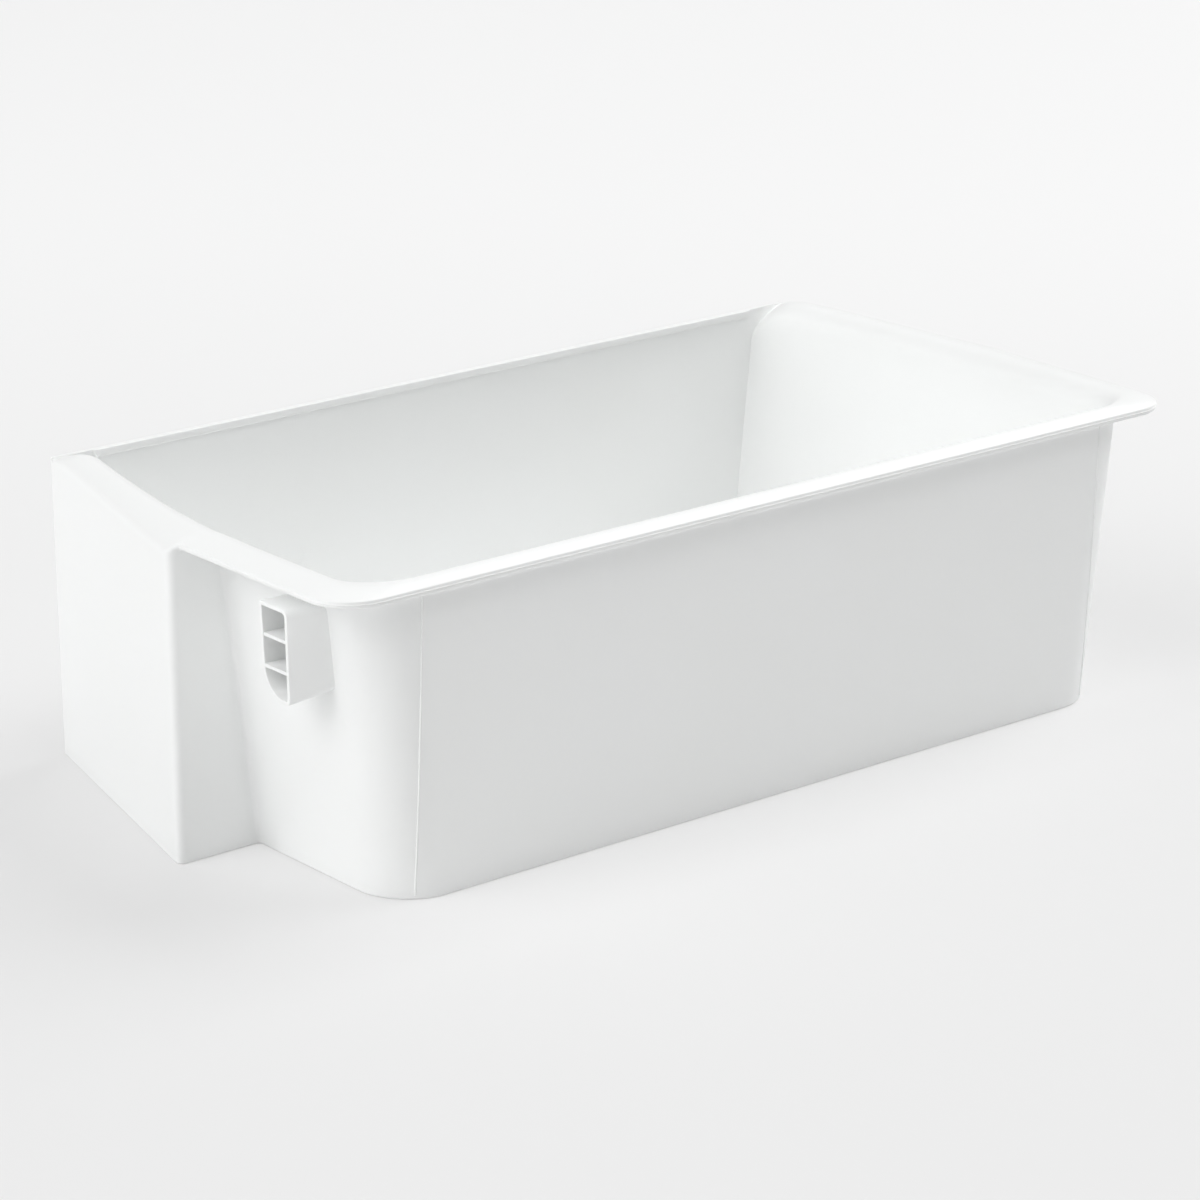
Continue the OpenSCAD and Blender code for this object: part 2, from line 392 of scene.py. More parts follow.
def end_share(station):
    """0 along the near wall, 1 along the end."""
    return smooth(station[1]) if station[0] == "arc" else 1.0


def drop_at(share):
    """The rim's drop to the far wall, from 0 to 1, at a share of the wing's length."""
    along = lerp(WING_FIRST_SHARE, 1, share)
    return clamp01((along - DROP_START) / (1 - DROP_START)) ** 2


def crest_at(y, drop):
    """Height of the rim's crest at y."""
    rise = CROWN_RISE * smooth((y - BEND_START - HUMP_START) / HUMP_FULL)
    return lerp(RIM_HEIGHT + CROWN + rise, RIM_HEIGHT - DROP_END, drop)


def wing_edge_at(share, drop):
    """Height of the wing's outer top edge at a share of its length."""
    edge = RIM_HEIGHT - WING_EDGE_DROP + WING_EDGE_RISE * share
    return lerp(edge, RIM_HEIGHT - DROP_END - FAR_EDGE_DROP, drop)


def wing_share(station):
    return {"wing": station[1], "join": 1.0}.get(station[0], 0.0)


# Heights of crest and edge, the inner roll's width, height and roundness, and the edge radius
RimSection = namedtuple("RimSection", "crest edge roll_wide roll_high roundness soft")


def rim_section(station):
    kind, t = station
    if kind in AT_FAR_RIM:
        return RimSection(RIM_HEIGHT, RIM_HEIGHT, LEAST_TOP, LEAST_TOP, CIRCLE_P, FAR_EDGE_R)
    drop = drop_at(wing_share(station))
    crest = crest_at(rim_plan(station, RIM_HEIGHT, 0)[1], drop)
    if kind in ("arc", "end"):
        edge = RIM_HEIGHT - lerp(LIP_EDGE_DROP, END_EDGE_DROP, end_share(station))
        soft = FLANGE_EDGE_R
    elif kind in ("fillet", "corner"):
        share = spread_share(station)
        edge = RIM_HEIGHT - lerp(END_EDGE_DROP, WING_EDGE_DROP, smooth(share))
        ends = (FLANGE_EDGE_R, STEP_EDGE_R) if kind == "fillet" else (STEP_EDGE_R, WING_FIRST_R)
        soft = lerp(*ends, t)
    else:
        share = wing_share(station)
        edge = wing_edge_at(share, drop)
        full = lerp(WING_FIRST_R, WING_EDGE_R, smooth(WING_SWELL * share))
        soft = lerp(full, FAR_EDGE_R, drop)
    roll = lerp(LIP_ROLL_R, ROLL_R, end_share(station))
    return RimSection(
        crest, edge, lerp(roll, 2 * ROLL_R, drop), lerp(roll, WEDGE_HIGH, drop),
        lerp(CIRCLE_P, WEDGE_P, drop), soft)


def inner_top(station):
    """Height at which the inner wall passes into the roll."""
    section = rim_section(("join", 0.0) if station[0] in AT_FAR_RIM else station)
    return section.crest - section.roll_high


def roll_rise(c, high, p):
    """How far the inner roll has risen at angle c of its quarter turn."""
    return high * (1 - math.cos(c) ** p) ** (1 / p)


def top_rows(station):
    """Rows from the start of the inner roll over the crest to the upper side of the edge."""
    crest, edge, roll_wide, roll_high, p, soft = rim_section(station)
    low = crest - roll_high
    inner = Vector(wall_plan(station, low, WALL))
    rim = Vector(rim_plan(station, RIM_HEIGHT, 0))
    outward = (rim - Vector(rim_plan(station, RIM_HEIGHT, soft / 2))).normalized()
    facing = max(0.0, outward.dot((rim - inner).normalized()))
    span = max(LEAST_TOP, (rim - inner).length - roll_wide - soft)
    slope = math.atan(2 * (crest - edge) / span * facing)
    outer = Vector(rim_plan(station, RIM_HEIGHT, soft * (1 - math.sin(slope))))
    wide = (outer - inner).length
    roll_wide = min(roll_wide, wide - LEAST_TOP)
    turns = [quarter(k, ROLL_STEPS) for k in range(ROLL_STEPS + 1)]
    falls = [k / TOP_STEPS for k in range(1, TOP_STEPS + 1)]
    shares = [roll_wide * (1 - math.cos(c)) / wide for c in turns]
    shares += [lerp(roll_wide / wide, 1, t) for t in falls]
    heights = [low + roll_rise(c, roll_high, p) for c in turns]
    heights += [crest - (crest - edge) * t * t for t in falls]
    if station[0] in AT_FAR_RIM:
        spots = far_top(station, inner, outer)
        heights = [RIM_HEIGHT] * len(spots)
    else:
        spots = [inner.lerp(outer, share) for share in shares]
    rows = [(spot.x, spot.y, z) for spot, z in zip(spots, heights)]
    if station[0] == "far":
        rows[:ROLL_STEPS + 1] = [(inner.x, inner.y - reach, z) for reach, z in far_bead()]
    for k in range(1, EDGE_STEPS + 1):
        c = lerp(slope, math.pi / 2, k / EDGE_STEPS)
        z = edge - soft * (math.cos(slope) - math.cos(c))
        rows.append((*rim_plan(station, z, soft * (1 - math.sin(c))), z))
    return rows


def far_top(station, inner, outer):
    """Spots of the top rows on the level far rim: spread out like those of the wing where they
    meet it, and gathered at the inner edge where the bead begins."""
    line = [Vector(row[:2]) for row in top_rows(("join", 0.0))[:ROLL_STEPS + TOP_STEPS + 1]]
    whole = (line[-1] - line[0]).length
    spread = [inner.lerp(outer, (spot - line[0]).length / whole) for spot in line]
    edge = inner + Vector((0, RIM_EDGE_DEEP))
    gathered = [inner.lerp(edge, k / ROLL_STEPS) for k in range(ROLL_STEPS + 1)]
    gathered += [edge.lerp(outer, k / TOP_STEPS) for k in range(1, TOP_STEPS + 1)]
    share = {"rise": 0.0, "turn": station[1], "far": 1.0}[station[0]]
    return [a.lerp(b, share) for a, b in zip(spread, gathered)]


def far_bead():
    """Section of the bead inside the far rim, as reach from the wall and height."""
    low = RIM_HEIGHT - BEAD_HIGH - FAR_EDGE_DROP
    soft = BEAD_REACH / 2
    turns = [quarter(k, BEAD_STEPS) for k in range(BEAD_STEPS + 1)]
    start = [soft * (1 - math.cos(a)) for a in turns]
    end = [soft * (1 - math.sin(a)) for a in turns]
    under = [(a, low - b) for a, b in zip(start, end)]
    nose = [(BEAD_REACH - b, low + a) for a, b in zip(start[1:], end[1:])]
    over = [(BEAD_REACH - a, RIM_HEIGHT - b) for a, b in zip(start, end)]
    flat = [(0.0, RIM_HEIGHT), (-RIM_EDGE_DEEP, RIM_HEIGHT)]
    return under + nose + over + flat


def edge_rows(station, top):
    """The flange's edge from height top down, with its parting line, then its underside and
    the radius into the wall."""
    low = RIM_HEIGHT - EDGE_THICK
    soft = min(FLANGE_EDGE_R, (top - low) / 3)
    middle = (top + low + soft) / 2
    ridge = min(PARTING_HALF, (top - low - soft) / 4)
    out = PARTING_OUT * ridge / PARTING_HALF
    line = [(0.0, ridge), (-out, ridge / 4), (-out, -ridge / 4), (0.0, -ridge)]
    rows = [(*rim_plan(station, middle + dz, inset), middle + dz) for inset, dz in line]
    for k in range(EDGE_STEPS):
        a = quarter(k, EDGE_STEPS - 1)
        z = low + soft * (1 - math.sin(a))
        back = soft * (1 - math.cos(a))
        rows.append(offset_point(station, rim_plan, z, back, HALF - PARTING_OUT, -a))
    rim = Vector(rows[-1])
    roots = []
    for k in range(UNDER_STEPS + 1):
        a = quarter(k, UNDER_STEPS)
        z = low - UNDER_R * (1 - math.cos(a))
        reach = UNDER_R * (1 - math.sin(a))
        roots.append(offset_point(station, outside_plan, z, -reach, end_x(z), a - math.pi / 2))
    rows.append(tuple(rim.lerp(Vector(roots[0]), 0.5)))
    return rows + roots


def offset_point(station, plan, z, inset, face_x, facing):
    """A point of the flange's section. In the fillet against the step the section grows along
    its own normal, whose angle above +X is facing."""
    if station[0] != "fillet":
        return (*plan(station, z, inset), z)
    a = math.pi / 2 * station[1]
    grown = FILLET * (1 - math.cos(a))
    y = step_y(z) - FILLET * (1 - math.sin(a))
    return face_x - inset + grown * math.cos(facing), y, z + grown * math.sin(facing)


def column(station):
    """One column of the skin, from the floor over the rim down to the bottom."""
    rows = []
    for k in range(FLOOR_STEPS + 1):
        a = quarter(k, FLOOR_STEPS)
        z = FLOOR + FLOOR_R * (1 - math.cos(a))
        rows.append((*wall_plan(station, z, WALL + FLOOR_R * (1 - math.sin(a))), z))
    for share in INNER_ROWS:
        z = lerp(FLOOR + FLOOR_R, inner_top(station), share)
        rows.append((*wall_plan(station, z, WALL), z))
    rows += top_rows(station)
    top = rows[-1][2]
    if station[0] in UNDER_A_FLANGE:
        rows += edge_rows(station, top)
    else:
        # as many rows as the flange has, down the side of the wing
        count = len(edge_rows(("end", 0.0), top))
        for k in range(count):
            z = lerp(top, RIM_HEIGHT - WING_BAND, (k + 1) / count)
            rows.append((*wing_plan(station, z, 0), z))
    for z in OUTER_ROWS:
        rows.append((*outside_plan(station, z, 0), z))
    for k in range(FOOT_STEPS + 1):
        a = quarter(k, FOOT_STEPS)
        z = FOOT_R * (1 - math.sin(a))
        rows.append((*outside_plan(station, z, FOOT_R * (1 - math.cos(a))), z))
    return rows


def hollow_section(t):
    """Section across the space inside a wing, from its outer foot over the top to the inner
    foot, one wall behind the skin."""

    def at_y(z):
        return lerp(step_y(z) + WALL, DEPTH - WALL, t)

    drop = drop_at(t)
    crest = crest_at(at_y(RIM_HEIGHT), drop)
    edge = wing_edge_at(t, drop) - WALL
    high = lerp(ROLL_R, WEDGE_HIGH, drop)
    low = crest - high
    side_x = wing_x(at_y(edge), edge) - WALL
    back_x = end_x(low) - bend(at_y(low))
    reach = min(lerp(ROLL_R, 2 * ROLL_R, drop) - WALL, side_x - back_x - UNDER_R)
    side = [(wing_x(at_y(z), z) - WALL, at_y(z), z) for z in HOLLOW_ROWS]
    shoulder = lerp(back_x + reach, side_x, 0.5)
    top = [
        (side_x, at_y(edge), edge),
        (shoulder, at_y(edge), lerp(crest - WALL, edge, HOLLOW_SHOULDER))]
    for k in range(EDGE_STEPS, 0, -1):
        c = quarter(k, EDGE_STEPS)
        z = low + roll_rise(c, high - WALL, lerp(CIRCLE_P, WEDGE_P, drop))
        top.append((back_x + reach * (1 - math.cos(c)), at_y(z), z))
    back = [(end_x(z) - bend(at_y(z)), at_y(z), z) for z in (low, *reversed(HOLLOW_ROWS))]
    return side + top + back


def mirrored(points, side):
    return [(side * p[0], p[1], p[2]) for p in points]


def bridge(bm, rings, closed):
    """Faces between neighbouring rows of points; returns their vertices."""
    verts = [[bm.verts.new(to_frame(p)) for p in ring] for ring in rings]
    pairs = list(zip(verts, verts[1:])) + ([(verts[-1], verts[0])] if closed else [])
    for a, b in pairs:
        for j in range(len(a) - 1):
            bm.faces.new((a[j], b[j], b[j + 1], a[j + 1]))
    return verts


def loop_edges(bm, loop):
    """The edges of a closed loop of vertices, made where they are missing."""
    pairs = zip(loop, loop[1:] + loop[:1])
    return [bm.edges.get(pair) or bm.edges.new(pair) for pair in pairs]


def made_solid(bm):
    """Makes points that coincide one, and turns all faces outwards."""
    bmesh.ops.remove_doubles(bm, verts=bm.verts, dist=SAME_POINT)
    bmesh.ops.recalc_face_normals(bm, faces=bm.faces)
    return bm


def capped(bm):
    """Closes both open ends of a tube."""
    bmesh.ops.remove_doubles(bm, verts=bm.verts, dist=SAME_POINT)
    bmesh.ops.holes_fill(bm, edges=[e for e in bm.edges if e.is_boundary], sides=0)
    return made_solid(bm)


def shell():
    """Tub, rim and wings as one closed skin, with the wings open from below."""
    bm = bmesh.new()
    right = [column(station) for station in STATIONS]
    left = [mirrored(rows, -1) for rows in reversed(right)]
    columns = bridge(bm, right + left, closed=True)
    bm.faces.new([rows[0] for rows in columns])
    mouths = loop_edges(bm, [rows[-1] for rows in columns])
    sections_right = [hollow_section(k / HOLLOW_STEPS) for k in range(HOLLOW_STEPS + 1)]
    for side in (1, -1):
        sections = [mirrored(section, side) for section in sections_right]
        verts = bridge(bm, sections, closed=False)
        bm.faces.new(verts[0])
        bm.faces.new(verts[-1])
        mouths += loop_edges(bm, [v[0] for v in verts] + [v[-1] for v in reversed(verts)])
    bmesh.ops.triangle_fill(bm, use_beauty=True, use_dissolve=False, edges=mouths)
    return made_solid(bm)


def lug_outline(inset, low_r):
    """The lug's outline, (y, z) inset from its walls, with four rounded corners."""
    near, far = LUG_AT + inset, LUG_AT + LUG_WIDE - inset
    top, low = RIM_HEIGHT - LUG_DROP - inset, RIM_HEIGHT - LUG_DROP - LUG_HIGH + inset
    corners = (
        (near, top, 1, -1, LUG_TOP_R),
        (near, low, 1, 1, low_r),
        (far, low, -1, 1, LUG_ROUND),
        (far, top, -1, -1, LUG_FAR_R))
    outline = []
    for turn, (y, z, in_y, in_z, full) in enumerate(corners, 1):
        r = max(LUG_SOFT, full - inset)
        for k in range(LUG_STEPS + 1):
            a = math.pi / 2 * (turn + k / LUG_STEPS)
            outline.append((y + r * (in_y + math.cos(a)), z + r * (in_z + math.sin(a))))
    return outline


def lug_ring(inset, x_at, low_r, side):
    """The outline set at x_at(z). The near side flares towards the wall, the far side runs in
    going down, and the underside rises towards the wall."""
    top = RIM_HEIGHT - LUG_DROP
    points = []
    for y, z in lug_outline(inset, low_r):
        x = x_at(z)
        deep = HALF - LUG_GAP - x
        across = (y - LUG_AT) / LUG_WIDE
        flare = deep * math.tan(LUG_FLARE) * (1 - across)
        taper = (top - z) * math.tan(LUG_TAPER) * across
        rise = deep * math.tan(LUG_RISE) * (top - z) / LUG_HIGH
        points.append((side * x, y - flare - taper, z + rise))
    return points


def lug(side):
    """Walls of a lug: a round-cornered box, open outwards, that roots in the end wall."""

    def face(z, back=0.0):
        """The open face, which leans in going down."""
        return HALF - LUG_GAP - back - (RIM_HEIGHT - LUG_DROP - z) * math.tan(LUG_LEAN)

    def root(z, sink):
        return end_x(z) - sink

    rings = [
        lug_ring(0, lambda z: root(z, LUG_SINK), LUG_ROOT_R, side),
        lug_ring(0, lambda z: face(z, LUG_SOFT), LUG_LOW_R, side),
        lug_ring(LUG_SOFT * LUG_SOFT_ROW, lambda z: face(z, LUG_SOFT * LUG_SOFT_ROW), LUG_LOW_R, side),
        lug_ring(LUG_SOFT, face, LUG_LOW_R, side),
        lug_ring(LUG_WALL - LUG_SOFT / 2, face, LUG_LOW_R, side),
        lug_ring(LUG_WALL, lambda z: face(z, LUG_SOFT / 2), LUG_LOW_R, side),
        lug_ring(LUG_WALL, lambda z: root(z, LUG_SINK / 3), LUG_ROOT_R, side)]
    bm = bmesh.new()
    bridge(bm, [ring + ring[:1] for ring in rings], closed=False)
    return capped(bm)


def pin_mark():
    """The shallow round seat that an ejector pin leaves on the inner far wall."""
    face_y = DEPTH - WALL
    turns = [2 * math.pi * k / PIN_STEPS for k in range(PIN_STEPS)]
    rings = []
    for y in (face_y - PIN_DEEP, face_y + PIN_DEEP):
        ring = [(PIN_X + PIN_R * math.cos(a), y, PIN_Z + PIN_R * math.sin(a)) for a in turns]
        rings.append(ring + ring[:1])
    bm = bmesh.new()
    bridge(bm, rings, closed=False)
    return capped(bm)


def linear(hex_colour):
    """An sRGB hex colour as linear RGBA."""
    parts = [int(hex_colour[i:i + 2], 16) / 255 for i in (1, 3, 5)]
    return (*[c / 12.92 if c <= 0.04045 else ((c + 0.055) / 1.055) ** 2.4 for c in parts], 1.0)


def socket(sockets, key):
    """The socket with this identifier, or else the first with this name."""
    exact = [entry for entry in sockets if entry.identifier == key]
    named = [entry for entry in sockets if entry.name == key]
    return (exact + named + [None])[0]


def fit_node(tree, node, settings, links):
    """Sets a node's inputs or attributes, and links its inputs to their sources."""
    for key, value in settings.items():
        entry = socket(node.inputs, key)
        if entry:
            entry.default_value = value
        else:
            setattr(node, key, value)
    for key, source in links.items():
        tree.links.new(source, socket(node.inputs, key))
    return node


def add_node(tree, kind, settings=None, links=None):
    """Adds a node with its settings and links."""
    return fit_node(tree, tree.nodes.new(kind), settings or {}, links or {})


def new_tree(name, inputs):
    """An empty geometry tree with named inputs and one geometry output."""
    tree = bpy.data.node_groups.new(name, "GeometryNodeTree")
    for label, kind in inputs:
        tree.interface.new_socket(label, in_out="INPUT", socket_type=kind)
    tree.interface.new_socket("Geometry", in_out="OUTPUT", socket_type="NodeSocketGeometry")
    return tree, add_node(tree, "NodeGroupInput").outputs, add_node(tree, "NodeGroupOutput")


def closed_tree(tree, geometry, plastic, out):
    """Ends a tree: its copies made real, in the plastic."""
    real = add_node(tree, "GeometryNodeRealizeInstances", {}, {"Geometry": geometry})
    painted = add_node(tree, "GeometryNodeSetMaterial", {}, {
        "Geometry": real.outputs["Geometry"], "Material": plastic})
    tree.links.new(painted.outputs["Geometry"], out.inputs["Geometry"])
    return tree


def grown(tree, name, values):
    """The tree's result for these input values, as an object with a plain mesh."""
    carrier = bpy.data.objects.new(name, bpy.data.meshes.new(name))
    bpy.context.scene.collection.objects.link(carrier)
    modifier = carrier.modifiers.new(name, "NODES")
    modifier.node_group = tree
    for item in tree.interface.items_tree:
        if item.in_out == "INPUT":
            modifier[item.identifier] = values[item.name]
    deps = bpy.context.evaluated_depsgraph_get()
    mesh = bpy.data.meshes.new_from_object(carrier.evaluated_get(deps))
    carrier.modifiers.clear()
    carrier.data = mesh
    return carrier


def rib_tree():
    """Level ribs, one above the other, between the cells of a lug."""
    tree, given, out = new_tree("lug_ribs", [
        ("Rib", "NodeSocketObject"), ("Count", "NodeSocketInt"), ("Lowest", "NodeSocketVector"),
        ("Pitch", "NodeSocketVector"), ("Plastic", "NodeSocketMaterial")])
    stack = add_node(tree, "GeometryNodeMeshLine", {}, {
        "Count": given["Count"], "Start Location": given["Lowest"], "Offset": given["Pitch"]})
    rib = add_node(tree, "GeometryNodeObjectInfo", {}, {"Object": given["Rib"]})
    ribs = add_node(tree, "GeometryNodeInstanceOnPoints", {}, {
        "Points": stack.outputs["Mesh"], "Instance": rib.outputs["Geometry"]})
    return closed_tree(tree, ribs.outputs["Instances"], given["Plastic"], out)


def witness_tree():
    """A fine round bead along the edges of a Path object."""
    tree, given, out = new_tree("slide_witness", [
        ("Path", "NodeSocketObject"), ("Radius", "NodeSocketFloat"),
        ("Plastic", "NodeSocketMaterial")])
    line = add_node(tree, "GeometryNodeObjectInfo", {}, {"Object": given["Path"]})
    path = add_node(tree, "GeometryNodeMeshToCurve", {}, {"Mesh": line.outputs["Geometry"]})
    section = add_node(tree, "GeometryNodeCurvePrimitiveCircle", {"Resolution": WITNESS_SIDES}, {
        "Radius": given["Radius"]})
    bead = add_node(tree, "GeometryNodeCurveToMesh", {"Fill Caps": True}, {
        "Curve": path.outputs["Curve"], "Profile Curve": section.outputs["Curve"]})
    return closed_tree(tree, bead.outputs["Mesh"], given["Plastic"], out)


def rib_slab(side):
    """One rib of a lug at height 0, its sides sunk into the lug's walls. Its outer edge keeps
    behind the open face at the lowest rib."""
    lowest = LUG_HIGH * (LUG_CELLS - 1) / LUG_CELLS
    face_x = HALF - LUG_GAP - LUG_SOFT / 2 - lowest * math.tan(LUG_LEAN)
    root_x = end_x(RIM_HEIGHT - LUG_DROP - LUG_HIGH) - LUG_SINK / 3
    near = LUG_AT + LUG_WALL - RIB_SINK
    flare = (face_x - root_x) * math.tan(LUG_FLARE)
    far = LUG_AT + LUG_WIDE - LUG_WALL - RIB_TAPER + RIB_SINK
    plan = [(face_x, near), (root_x, near - flare), (root_x, far), (face_x, far)]
    rings = [[(side * x, y, z) for x, y in plan + plan[:1]] for z in (-LUG_RIB / 2, LUG_RIB / 2)]
    bm = bmesh.new()
    bridge(bm, rings, closed=False)
    return capped(bm)


def lug_ribs(tree, side, plastic):
    """The ribs of one lug, evenly spread over its height."""
    pitch = (LUG_HIGH - LUG_WALL) / LUG_CELLS
    lowest = RIM_HEIGHT - LUG_DROP - LUG_WALL / 2 - (LUG_CELLS - 1) * pitch
    rib = as_object(rib_slab(side), "lug_rib")
    ribs = grown(tree, "lug_ribs", {
        "Rib": rib, "Count": LUG_CELLS - 1, "Lowest": Vector((0, 0, lowest * MM)),
        "Pitch": Vector((0, 0, pitch * MM)), "Plastic": plastic})
    bpy.data.objects.remove(rib)
    return ribs


def witness_line(tree, side, plastic):
    """The line lies in one plane across X and follows the rounded near corner upwards."""
    bm = bmesh.new()
    spots = []
    low = FOOT_R + 1
    high = RIM_HEIGHT - EDGE_THICK - UNDER_R / 2
    for k in range(WITNESS_STEPS + 1):
        z = lerp(low, high, k / WITNESS_STEPS)
        across = WITNESS_X - (end_x(z) - CORNER_R)
        y = near_y(z) + CORNER_R - math.sqrt(CORNER_R ** 2 - across ** 2)
        spots.append(bm.verts.new(to_frame((side * WITNESS_X, y, z))))
    for a, b in zip(spots, spots[1:]):
        bm.edges.new((a, b))
    path = as_object(bm, "witness_path")
    bead = grown(tree, "slide_witness", {
        "Path": path, "Radius": WITNESS_R * MM, "Plastic": plastic})
    bpy.data.objects.remove(path)
    return bead


def as_object(bm, name):
    mesh = bpy.data.meshes.new(name)
    bm.to_mesh(mesh)
    bm.free()
    obj = bpy.data.objects.new(name, mesh)
    bpy.context.scene.collection.objects.link(obj)
    return obj


def joined(body, parts, operation):
    """Joins parts to a body, or cuts them out, and keeps the result as a plain mesh."""
    for part in parts:
        step = body.modifiers.new("step", "BOOLEAN")
        step.operation = operation
        step.solver = "EXACT"
        step.object = part
    deps = bpy.context.evaluated_depsgraph_get()
    mesh = bpy.data.meshes.new_from_object(body.evaluated_get(deps))
    body.modifiers.clear()
    body.data = mesh
    for part in parts:
        bpy.data.objects.remove(part)
    return body


def moulded_polystyrene():
    """High-impact polystyrene, injection moulded in a finely stoned tool: opaque cool white
    with a broad soft sheen and the faint unevenness of a large thin wall."""
    mat = bpy.data.materials.new("white_moulded_polystyrene")
    mat.use_nodes = True
    tree = mat.node_tree
    place = add_node(tree, "ShaderNodeTexCoord").outputs["Object"]
    # clouds of the pigment, about 60 mm across, which keep the walls from looking painted
    cloud = add_node(tree, "ShaderNodeTexNoise", {"Scale": 1 / 0.060, "Detail": 2.0}, {
        "Vector": place})
    tone = add_node(tree, "ShaderNodeMix", {
        "data_type": "RGBA", "A_Color": linear("#f9faf9"), "B_Color": linear("#fbfcfc")}, {
        "Factor_Float": cloud.outputs["Fac"]})
    # the stoning of the tool, strokes of about 15 mm, which breaks up the sheen
    stoning = add_node(tree, "ShaderNodeTexNoise", {"Scale": 1 / 0.015, "Detail": 3.0}, {
        "Vector": place})
    sheen = add_node(tree, "ShaderNodeMapRange", {"To Min": 0.46, "To Max": 0.54}, {
        "Value": stoning.outputs["Fac"]})
    # grain of the tool, drawn at 0.6 mm so that it just shows in close views
    grain = add_node(tree, "ShaderNodeTexNoise", {"Scale": 1 / 0.0006, "Detail": 2.0}, {
        "Vector": place})
    relief = add_node(tree, "ShaderNodeBump", {"Strength": 0.06, "Distance": 0.00005}, {
        "Height": grain.outputs["Fac"]})
    fit_node(tree, tree.nodes["Principled BSDF"], {"IOR": 1.59}, {
        "Base Color": socket(tone.outputs, "Result_Color"),
        "Roughness": sheen.outputs["Result"], "Normal": relief.outputs["Normal"]})
    return mat


def studio_paper():
    """Matt white paper of the sweep. What the camera sees of it carries painted shade, darker towards
    the front, and is evened out by a share of plain white, so that only soft shadows show; the bin is
    lit by the plain paper."""
    mat = bpy.data.materials.new("studio_paper")
    mat.use_nodes = True
    tree = mat.node_tree
    # place across the floor, from behind the bin to its front left, along which the painted
    # shade darkens the paper
    painted_shade_course = (math.sin(AZIMUTH), -math.cos(AZIMUTH), 0)
    place = add_node(tree, "ShaderNodeTexCoord").outputs["Object"]
    along = add_node(tree, "ShaderNodeVectorMath", {
        "operation": "DOT_PRODUCT", "Vector_001": painted_shade_course}, {"Vector": place})
    painted_shade = add_node(tree, "ShaderNodeMapRange", {
        "interpolation_type": "SMOOTHSTEP", "From Min": PAINTED_SHADE_FROM, "From Max": PAINTED_SHADE_TO,
        "To Min": PAINTED_SHADE_LEAST, "To Max": PAINTED_SHADE_MOST}, {"Value": along.outputs["Value"]})
    # 1 where the paper is seen, straight or in a reflection, and 0 where it only sends on light
    path = add_node(tree, "ShaderNodeLightPath").outputs
    direct = add_node(tree, "ShaderNodeMath", {"operation": "MAXIMUM"}, {
        "Value": path["Is Camera Ray"], "Value_001": path["Is Glossy Ray"]})
    seen = add_node(tree, "ShaderNodeMath", {"operation": "MAXIMUM"}, {
        "Value": direct.outputs["Value"], "Value_001": path["Is Transmission Ray"]})
    # the paper's colour: plain for the light it sends on, with the painted shade where it is seen
    tone = add_node(tree, "ShaderNodeMix", {"data_type": "RGBA", "A_Color": linear("#eeeeee")}, {
        "Factor_Float": seen.outputs["Value"], "B_Color": painted_shade.outputs["Result"]})
    even = add_node(tree, "ShaderNodeMath", {"operation": "MULTIPLY", "Value_001": PAPER_EVEN}, {
        "Value": seen.outputs["Value"]})
    fit_node(tree, tree.nodes["Principled BSDF"], {
        "Emission Color": (1, 1, 1, 1), "Roughness": 0.9, "Specular IOR Level": 0.1}, {
        "Base Color": socket(tone.outputs, "Result_Color"),
        "Emission Strength": even.outputs["Value"]})
    return mat


def paper_sweep():
    """A floor that rises in one smooth curve behind the bin."""
    line = [(SWEEP_FRONT, 0.0)]
    for k in range(SWEEP_STEPS + 1):
        a = quarter(k, SWEEP_STEPS)
        line.append((SWEEP_BACK - SWEEP_R * (1 - math.sin(a)), SWEEP_R * (1 - math.cos(a))))
    line.append((SWEEP_BACK, SWEEP_HIGH))
    bm = bmesh.new()
    low = node_low.z - FLOOR_GAP
    left = [bm.verts.new((-SWEEP_WIDE, y, z + low)) for y, z in line]
    right = [bm.verts.new((SWEEP_WIDE, y, z + low)) for y, z in line]
    for k in range(len(line) - 1):
        bm.faces.new((left[k], right[k], right[k + 1], left[k + 1]))
    sweep = as_object(made_solid(bm), "paper_sweep")
    sweep.data.shade_smooth()
    sweep.data.materials.append(studio_paper())
    return sweep


def softbox(name, place, power, size=BROAD_LAMP):
    """A large rectangular lamp that faces the bin; its place is in metres, its power in watts."""
    data = bpy.data.lights.new(name, "AREA")
    data.shape = "RECTANGLE"
    data.size, data.size_y = size
    data.energy = power
    lamp = bpy.data.objects.new(name, data)
    lamp.location = place
    lamp.rotation_euler = (-Vector(place)).to_track_quat("-Z", "Y").to_euler()
    bpy.context.scene.collection.objects.link(lamp)


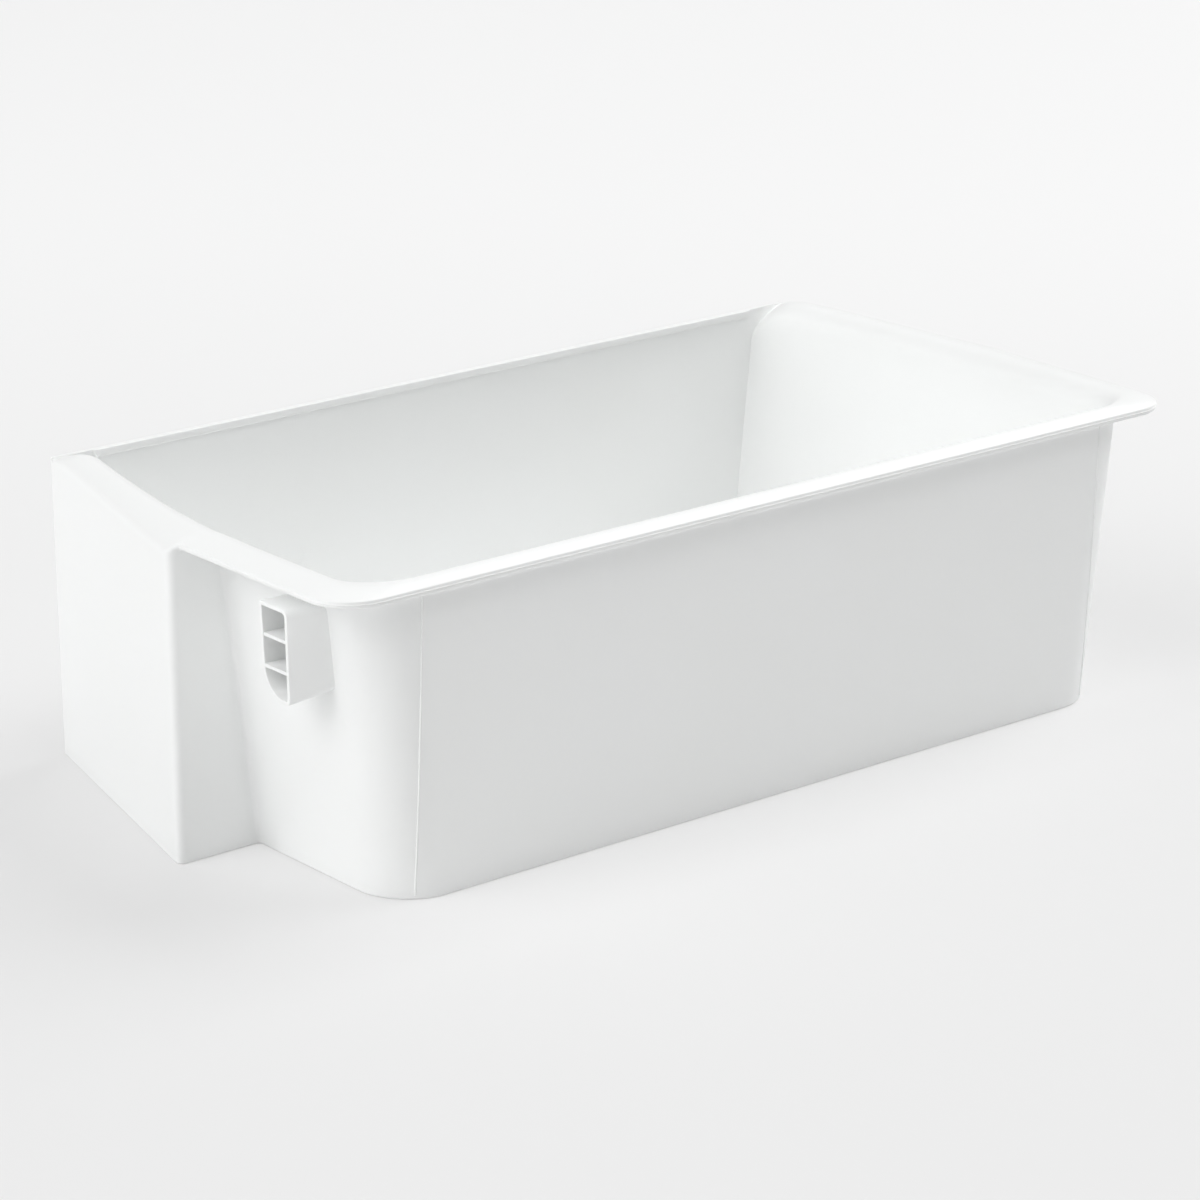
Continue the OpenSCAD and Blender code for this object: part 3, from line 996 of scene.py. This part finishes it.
def photo_camera():
    """The camera, at the photograph's place and angle."""
    flat = math.cos(ELEVATION)
    back = Vector((math.sin(AZIMUTH) * flat, -math.cos(AZIMUTH) * flat, math.sin(ELEVATION)))
    level = Vector((math.cos(AZIMUTH), math.sin(AZIMUTH), 0))
    upright = back.cross(level)
    right = level * math.cos(ROLL) + upright * math.sin(ROLL)
    up = upright * math.cos(ROLL) - level * math.sin(ROLL)
    data = bpy.data.cameras.new("photo_camera")
    data.sensor_width = SENSOR
    data.lens = SENSOR * FOCAL_PIXELS / FRAME_PIXELS
    data.clip_start = CLIP_NEAR
    data.clip_end = CLIP_FAR
    cam = bpy.data.objects.new("photo_camera", data)
    turn = Matrix((right, up, back)).transposed().to_4x4()
    cam.matrix_world = Matrix.Translation(to_frame(CAMERA_PLACE)) @ turn
    bpy.context.scene.collection.objects.link(cam)
    return cam


# The bin
polystyrene = moulded_polystyrene()
ribs_rule, witness_rule = rib_tree(), witness_tree()
door_bin = as_object(shell(), "door_bin_moulding")
additions = []
for side in (1, -1):
    additions.append(as_object(lug(side), "lug"))
    additions.append(lug_ribs(ribs_rule, side, polystyrene))
    additions.append(witness_line(witness_rule, side, polystyrene))
door_bin = joined(door_bin, additions, "UNION")
door_bin = joined(door_bin, [as_object(pin_mark(), "pin_mark")], "DIFFERENCE")
door_bin.data.materials.clear()
door_bin.data.materials.append(polystyrene)
door_bin.data.shade_smooth()
door_bin.data.set_sharp_from_angle(angle=SHARP_EDGE)
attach(door_bin, "root")
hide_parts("door_bin")

# The studio
paper_sweep()
softbox("left", (-5.4, 0.8, 2.4), 43)
softbox("left_high", (-4.0, -0.4, 4.4), 125)
softbox("left_back", (-4.6, 2.8, 2.6), 92)
softbox("left_front", (-4.6, -2.6, 1.6), 14, (3.5, 3.0))
softbox("front_high", (-0.5, -2.8, 5.3), 68)
softbox("right_high", (3.8, -0.6, 4.6), 238)
softbox("right_low", (5.2, 0.2, 1.6), 60, (3.5, 2.8))

world = bpy.data.worlds.new("bright_room")
bpy.context.scene.world = world
world.use_nodes = True
fit_node(world.node_tree, world.node_tree.nodes["Background"], {
    "Color": linear("#f6f7f7"), "Strength": ROOM_LIGHT}, {})

bpy.context.scene.camera = photo_camera()
bpy.context.scene.view_settings.view_transform = "Standard"

bpy.context.view_layer.update()
